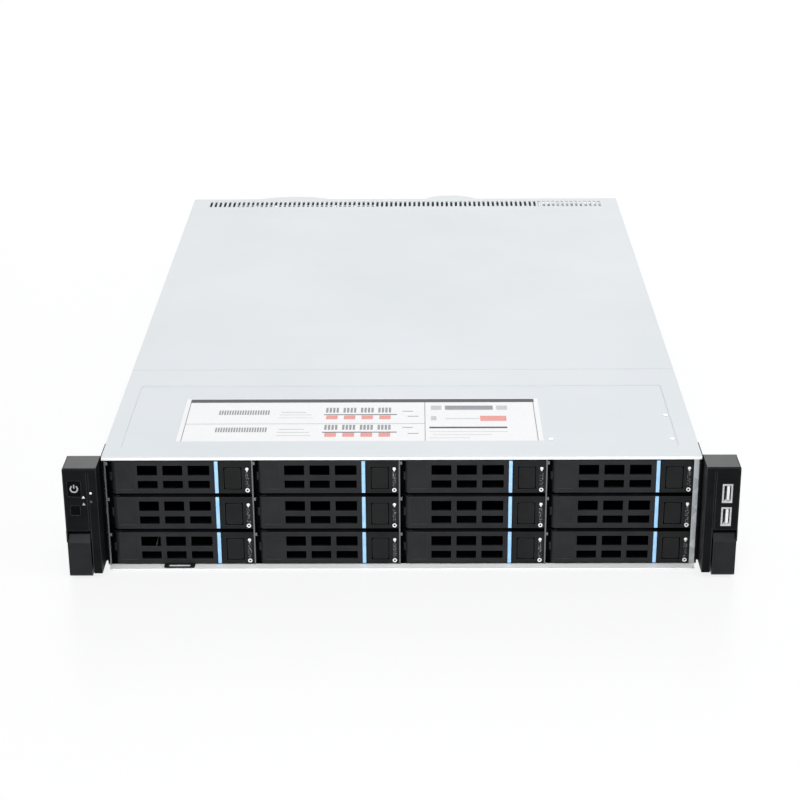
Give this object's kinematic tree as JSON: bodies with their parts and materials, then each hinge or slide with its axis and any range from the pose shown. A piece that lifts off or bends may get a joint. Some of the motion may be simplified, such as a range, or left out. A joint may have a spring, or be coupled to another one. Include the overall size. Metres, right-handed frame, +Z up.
{
  "type": "rack storage chassis",
  "caption": "Two-unit rack storage chassis with hot-swap drive carriers, sliding rear cover, ears with a power button and USB sockets, fans and plug-in power supplies.",
  "frame": {"origin": "on the underside, midway between the sides, in the plane of the rack posts", "axes": "+X to the right seen from the front, +Y to the back, +Z up"},
  "size_m": [0.4826, 0.6917, 0.0875],
  "materials": {
    "chassis_tray": "galvanised",
    "rear_panel": "galvanised",
    "slot_covers": "nickel plated",
    "drive_cage": "galvanised",
    "front_cover": "satin",
    "left_ear": "fine grained",
    "right_ear": "fine grained",
    "rack_brackets": "powder coated",
    "usb_ports": "tin plated",
    "backplane": "circuit board",
    "fan_wall": "galvanised",
    "carrier_bottom_1": "fine grained",
    "latch_lever_bottom_1": "fine grained",
    "release_button_bottom_1": "fine grained",
    "carrier_bottom_2": "fine grained",
    "latch_lever_bottom_2": "fine grained",
    "release_button_bottom_2": "fine grained",
    "carrier_bottom_3": "fine grained",
    "latch_lever_bottom_3": "fine grained",
    "release_button_bottom_3": "fine grained",
    "carrier_bottom_4": "fine grained",
    "latch_lever_bottom_4": "fine grained",
    "release_button_bottom_4": "fine grained",
    "carrier_middle_1": "fine grained",
    "latch_lever_middle_1": "fine grained",
    "release_button_middle_1": "fine grained",
    "carrier_middle_2": "fine grained",
    "latch_lever_middle_2": "fine grained",
    "release_button_middle_2": "fine grained",
    "carrier_middle_3": "fine grained",
    "latch_lever_middle_3": "fine grained",
    "release_button_middle_3": "fine grained",
    "carrier_middle_4": "fine grained",
    "latch_lever_middle_4": "fine grained",
    "release_button_middle_4": "fine grained",
    "carrier_top_1": "fine grained",
    "latch_lever_top_1": "fine grained",
    "release_button_top_1": "fine grained",
    "carrier_top_2": "fine grained",
    "latch_lever_top_2": "fine grained",
    "release_button_top_2": "fine grained",
    "carrier_top_3": "fine grained",
    "latch_lever_top_3": "fine grained",
    "release_button_top_3": "fine grained",
    "carrier_top_4": "fine grained",
    "latch_lever_top_4": "fine grained",
    "release_button_top_4": "fine grained",
    "rear_cover": "satin",
    "power_button": "fine grained",
    "reset_button": "fine grained",
    "left_ear_flap": "fine grained",
    "right_ear_flap": "fine grained",
    "info_tag": "smooth",
    "fan_rotor_1": "fine grained",
    "fan_rotor_2": "fine grained",
    "fan_rotor_3": "fine grained",
    "power_supply_1": "galvanised",
    "power_supply_latch_1": "smooth",
    "power_supply_2": "galvanised",
    "power_supply_latch_2": "smooth"
  },
  "bodies": {
    "chassis": {"chassis_tray": "chassis_tray", "rear_panel": "rear_panel", "slot_covers": "slot_covers", "drive_cage": "drive_cage", "front_cover": "front_cover", "left_ear": "left_ear", "right_ear": "right_ear", "rack_brackets": "rack_brackets", "usb_ports": "usb_ports", "backplane": "backplane", "fan_wall": "fan_wall"},
    "carrier_bottom_1": {"carrier_bottom_1": "carrier_bottom_1"},
    "latch_lever_bottom_1": {"latch_lever_bottom_1": "latch_lever_bottom_1"},
    "release_button_bottom_1": {"release_button_bottom_1": "release_button_bottom_1"},
    "carrier_bottom_2": {"carrier_bottom_2": "carrier_bottom_2"},
    "latch_lever_bottom_2": {"latch_lever_bottom_2": "latch_lever_bottom_2"},
    "release_button_bottom_2": {"release_button_bottom_2": "release_button_bottom_2"},
    "carrier_bottom_3": {"carrier_bottom_3": "carrier_bottom_3"},
    "latch_lever_bottom_3": {"latch_lever_bottom_3": "latch_lever_bottom_3"},
    "release_button_bottom_3": {"release_button_bottom_3": "release_button_bottom_3"},
    "carrier_bottom_4": {"carrier_bottom_4": "carrier_bottom_4"},
    "latch_lever_bottom_4": {"latch_lever_bottom_4": "latch_lever_bottom_4"},
    "release_button_bottom_4": {"release_button_bottom_4": "release_button_bottom_4"},
    "carrier_middle_1": {"carrier_middle_1": "carrier_middle_1"},
    "latch_lever_middle_1": {"latch_lever_middle_1": "latch_lever_middle_1"},
    "release_button_middle_1": {"release_button_middle_1": "release_button_middle_1"},
    "carrier_middle_2": {"carrier_middle_2": "carrier_middle_2"},
    "latch_lever_middle_2": {"latch_lever_middle_2": "latch_lever_middle_2"},
    "release_button_middle_2": {"release_button_middle_2": "release_button_middle_2"},
    "carrier_middle_3": {"carrier_middle_3": "carrier_middle_3"},
    "latch_lever_middle_3": {"latch_lever_middle_3": "latch_lever_middle_3"},
    "release_button_middle_3": {"release_button_middle_3": "release_button_middle_3"},
    "carrier_middle_4": {"carrier_middle_4": "carrier_middle_4"},
    "latch_lever_middle_4": {"latch_lever_middle_4": "latch_lever_middle_4"},
    "release_button_middle_4": {"release_button_middle_4": "release_button_middle_4"},
    "carrier_top_1": {"carrier_top_1": "carrier_top_1"},
    "latch_lever_top_1": {"latch_lever_top_1": "latch_lever_top_1"},
    "release_button_top_1": {"release_button_top_1": "release_button_top_1"},
    "carrier_top_2": {"carrier_top_2": "carrier_top_2"},
    "latch_lever_top_2": {"latch_lever_top_2": "latch_lever_top_2"},
    "release_button_top_2": {"release_button_top_2": "release_button_top_2"},
    "carrier_top_3": {"carrier_top_3": "carrier_top_3"},
    "latch_lever_top_3": {"latch_lever_top_3": "latch_lever_top_3"},
    "release_button_top_3": {"release_button_top_3": "release_button_top_3"},
    "carrier_top_4": {"carrier_top_4": "carrier_top_4"},
    "latch_lever_top_4": {"latch_lever_top_4": "latch_lever_top_4"},
    "release_button_top_4": {"release_button_top_4": "release_button_top_4"},
    "rear_cover": {"rear_cover": "rear_cover"},
    "power_button": {"power_button": "power_button"},
    "reset_button": {"reset_button": "reset_button"},
    "left_ear_flap": {"left_ear_flap": "left_ear_flap"},
    "right_ear_flap": {"right_ear_flap": "right_ear_flap"},
    "info_tag": {"info_tag": "info_tag"},
    "fan_rotor_1": {"fan_rotor_1": "fan_rotor_1"},
    "fan_rotor_2": {"fan_rotor_2": "fan_rotor_2"},
    "fan_rotor_3": {"fan_rotor_3": "fan_rotor_3"},
    "power_supply_1": {"power_supply_1": "power_supply_1"},
    "power_supply_latch_1": {"power_supply_latch_1": "power_supply_latch_1"},
    "power_supply_2": {"power_supply_2": "power_supply_2"},
    "power_supply_latch_2": {"power_supply_latch_2": "power_supply_latch_2"}
  },
  "joints": [
    {"name": "carrier_slide_bottom_1", "type": "slide", "parent": "chassis", "child": "carrier_bottom_1", "axis": [0, -1, 0], "range_m": [0, 0.15]},
    {"name": "lever_hinge_bottom_1", "type": "hinge", "parent": "carrier_bottom_1", "child": "latch_lever_bottom_1", "pos_m": [-0.2062, -0.0016, 0.01475], "axis": [0, 0, -1], "range_deg": [0, 65]},
    {"name": "release_press_bottom_1", "type": "slide", "parent": "carrier_bottom_1", "child": "release_button_bottom_1", "axis": [0, 1, 0], "range_m": [0, 0.0015], "stiffness_N_per_m": 1500, "springref_m": -0.001},
    {"name": "carrier_slide_bottom_2", "type": "slide", "parent": "chassis", "child": "carrier_bottom_2", "axis": [0, -1, 0], "range_m": [0, 0.15]},
    {"name": "lever_hinge_bottom_2", "type": "hinge", "parent": "carrier_bottom_2", "child": "latch_lever_bottom_2", "pos_m": [-0.1, -0.0016, 0.01475], "axis": [0, 0, -1], "range_deg": [0, 65]},
    {"name": "release_press_bottom_2", "type": "slide", "parent": "carrier_bottom_2", "child": "release_button_bottom_2", "axis": [0, 1, 0], "range_m": [0, 0.0015], "stiffness_N_per_m": 1500, "springref_m": -0.001},
    {"name": "carrier_slide_bottom_3", "type": "slide", "parent": "chassis", "child": "carrier_bottom_3", "axis": [0, -1, 0], "range_m": [0, 0.15]},
    {"name": "lever_hinge_bottom_3", "type": "hinge", "parent": "carrier_bottom_3", "child": "latch_lever_bottom_3", "pos_m": [0.0062, -0.0016, 0.01475], "axis": [0, 0, -1], "range_deg": [0, 65]},
    {"name": "release_press_bottom_3", "type": "slide", "parent": "carrier_bottom_3", "child": "release_button_bottom_3", "axis": [0, 1, 0], "range_m": [0, 0.0015], "stiffness_N_per_m": 1500, "springref_m": -0.001},
    {"name": "carrier_slide_bottom_4", "type": "slide", "parent": "chassis", "child": "carrier_bottom_4", "axis": [0, -1, 0], "range_m": [0, 0.15]},
    {"name": "lever_hinge_bottom_4", "type": "hinge", "parent": "carrier_bottom_4", "child": "latch_lever_bottom_4", "pos_m": [0.1124, -0.0016, 0.01475], "axis": [0, 0, -1], "range_deg": [0, 65]},
    {"name": "release_press_bottom_4", "type": "slide", "parent": "carrier_bottom_4", "child": "release_button_bottom_4", "axis": [0, 1, 0], "range_m": [0, 0.0015], "stiffness_N_per_m": 1500, "springref_m": -0.001},
    {"name": "carrier_slide_middle_1", "type": "slide", "parent": "chassis", "child": "carrier_middle_1", "axis": [0, -1, 0], "range_m": [0, 0.15]},
    {"name": "lever_hinge_middle_1", "type": "hinge", "parent": "carrier_middle_1", "child": "latch_lever_middle_1", "pos_m": [-0.2062, -0.0016, 0.04315], "axis": [0, 0, -1], "range_deg": [0, 65]},
    {"name": "release_press_middle_1", "type": "slide", "parent": "carrier_middle_1", "child": "release_button_middle_1", "axis": [0, 1, 0], "range_m": [0, 0.0015], "stiffness_N_per_m": 1500, "springref_m": -0.001},
    {"name": "carrier_slide_middle_2", "type": "slide", "parent": "chassis", "child": "carrier_middle_2", "axis": [0, -1, 0], "range_m": [0, 0.15]},
    {"name": "lever_hinge_middle_2", "type": "hinge", "parent": "carrier_middle_2", "child": "latch_lever_middle_2", "pos_m": [-0.1, -0.0016, 0.04315], "axis": [0, 0, -1], "range_deg": [0, 65]},
    {"name": "release_press_middle_2", "type": "slide", "parent": "carrier_middle_2", "child": "release_button_middle_2", "axis": [0, 1, 0], "range_m": [0, 0.0015], "stiffness_N_per_m": 1500, "springref_m": -0.001},
    {"name": "carrier_slide_middle_3", "type": "slide", "parent": "chassis", "child": "carrier_middle_3", "axis": [0, -1, 0], "range_m": [0, 0.15]},
    {"name": "lever_hinge_middle_3", "type": "hinge", "parent": "carrier_middle_3", "child": "latch_lever_middle_3", "pos_m": [0.0062, -0.0016, 0.04315], "axis": [0, 0, -1], "range_deg": [0, 65]},
    {"name": "release_press_middle_3", "type": "slide", "parent": "carrier_middle_3", "child": "release_button_middle_3", "axis": [0, 1, 0], "range_m": [0, 0.0015], "stiffness_N_per_m": 1500, "springref_m": -0.001},
    {"name": "carrier_slide_middle_4", "type": "slide", "parent": "chassis", "child": "carrier_middle_4", "axis": [0, -1, 0], "range_m": [0, 0.15]},
    {"name": "lever_hinge_middle_4", "type": "hinge", "parent": "carrier_middle_4", "child": "latch_lever_middle_4", "pos_m": [0.1124, -0.0016, 0.04315], "axis": [0, 0, -1], "range_deg": [0, 65]},
    {"name": "release_press_middle_4", "type": "slide", "parent": "carrier_middle_4", "child": "release_button_middle_4", "axis": [0, 1, 0], "range_m": [0, 0.0015], "stiffness_N_per_m": 1500, "springref_m": -0.001},
    {"name": "carrier_slide_top_1", "type": "slide", "parent": "chassis", "child": "carrier_top_1", "axis": [0, -1, 0], "range_m": [0, 0.15]},
    {"name": "lever_hinge_top_1", "type": "hinge", "parent": "carrier_top_1", "child": "latch_lever_top_1", "pos_m": [-0.2062, -0.0016, 0.07155], "axis": [0, 0, -1], "range_deg": [0, 65]},
    {"name": "release_press_top_1", "type": "slide", "parent": "carrier_top_1", "child": "release_button_top_1", "axis": [0, 1, 0], "range_m": [0, 0.0015], "stiffness_N_per_m": 1500, "springref_m": -0.001},
    {"name": "carrier_slide_top_2", "type": "slide", "parent": "chassis", "child": "carrier_top_2", "axis": [0, -1, 0], "range_m": [0, 0.15]},
    {"name": "lever_hinge_top_2", "type": "hinge", "parent": "carrier_top_2", "child": "latch_lever_top_2", "pos_m": [-0.1, -0.0016, 0.07155], "axis": [0, 0, -1], "range_deg": [0, 65]},
    {"name": "release_press_top_2", "type": "slide", "parent": "carrier_top_2", "child": "release_button_top_2", "axis": [0, 1, 0], "range_m": [0, 0.0015], "stiffness_N_per_m": 1500, "springref_m": -0.001},
    {"name": "carrier_slide_top_3", "type": "slide", "parent": "chassis", "child": "carrier_top_3", "axis": [0, -1, 0], "range_m": [0, 0.15]},
    {"name": "lever_hinge_top_3", "type": "hinge", "parent": "carrier_top_3", "child": "latch_lever_top_3", "pos_m": [0.0062, -0.0016, 0.07155], "axis": [0, 0, -1], "range_deg": [0, 65]},
    {"name": "release_press_top_3", "type": "slide", "parent": "carrier_top_3", "child": "release_button_top_3", "axis": [0, 1, 0], "range_m": [0, 0.0015], "stiffness_N_per_m": 1500, "springref_m": -0.001},
    {"name": "carrier_slide_top_4", "type": "slide", "parent": "chassis", "child": "carrier_top_4", "axis": [0, -1, 0], "range_m": [0, 0.15]},
    {"name": "lever_hinge_top_4", "type": "hinge", "parent": "carrier_top_4", "child": "latch_lever_top_4", "pos_m": [0.1124, -0.0016, 0.07155], "axis": [0, 0, -1], "range_deg": [0, 65]},
    {"name": "release_press_top_4", "type": "slide", "parent": "carrier_top_4", "child": "release_button_top_4", "axis": [0, 1, 0], "range_m": [0, 0.0015], "stiffness_N_per_m": 1500, "springref_m": -0.001},
    {"name": "rear_cover_slide", "type": "slide", "parent": "chassis", "child": "rear_cover", "axis": [0, 1, 0], "range_m": [0, 0.02]},
    {"name": "power_button_press", "type": "slide", "parent": "chassis", "child": "power_button", "axis": [0, 1, 0], "range_m": [0, 0.0012], "stiffness_N_per_m": 1500, "springref_m": -0.001},
    {"name": "reset_button_press", "type": "slide", "parent": "chassis", "child": "reset_button", "axis": [0, 1, 0], "range_m": [0, 0.0012], "stiffness_N_per_m": 1500, "springref_m": -0.001},
    {"name": "left_flap_hinge", "type": "hinge", "parent": "chassis", "child": "left_ear_flap", "pos_m": [-0.23245, -0.02, 0.0063], "axis": [1, 0, 0], "range_deg": [0, 75]},
    {"name": "right_flap_hinge", "type": "hinge", "parent": "chassis", "child": "right_ear_flap", "pos_m": [0.23245, -0.02, 0.0063], "axis": [1, 0, 0], "range_deg": [0, 75]},
    {"name": "info_tag_slide", "type": "slide", "parent": "chassis", "child": "info_tag", "axis": [0, -1, 0], "range_m": [0, 0.05]},
    {"name": "fan_spin_1", "type": "hinge", "parent": "chassis", "child": "fan_rotor_1", "pos_m": [-0.14, 0.2288, 0.0426], "axis": [0, 1, 0], "continuous": true},
    {"name": "fan_spin_2", "type": "hinge", "parent": "chassis", "child": "fan_rotor_2", "pos_m": [0, 0.2288, 0.0426], "axis": [0, 1, 0], "continuous": true},
    {"name": "fan_spin_3", "type": "hinge", "parent": "chassis", "child": "fan_rotor_3", "pos_m": [0.14, 0.2288, 0.0426], "axis": [0, 1, 0], "continuous": true},
    {"name": "power_supply_slide_1", "type": "slide", "parent": "chassis", "child": "power_supply_1", "axis": [0, 1, 0], "range_m": [0, 0.15]},
    {"name": "power_supply_latch_hinge_1", "type": "hinge", "parent": "power_supply_1", "child": "power_supply_latch_1", "pos_m": [0.20855, 0.625, 0.0205], "axis": [0, 0, 1], "range_deg": [0, 6], "stiffness_Nm_per_rad": 0.6, "springref_deg": -2.86},
    {"name": "power_supply_slide_2", "type": "slide", "parent": "chassis", "child": "power_supply_2", "axis": [0, 1, 0], "range_m": [0, 0.15]},
    {"name": "power_supply_latch_hinge_2", "type": "hinge", "parent": "power_supply_2", "child": "power_supply_latch_2", "pos_m": [0.20855, 0.625, 0.0631], "axis": [0, 0, 1], "range_deg": [0, 6], "stiffness_Nm_per_rad": 0.6, "springref_deg": -2.86}
  ]
}
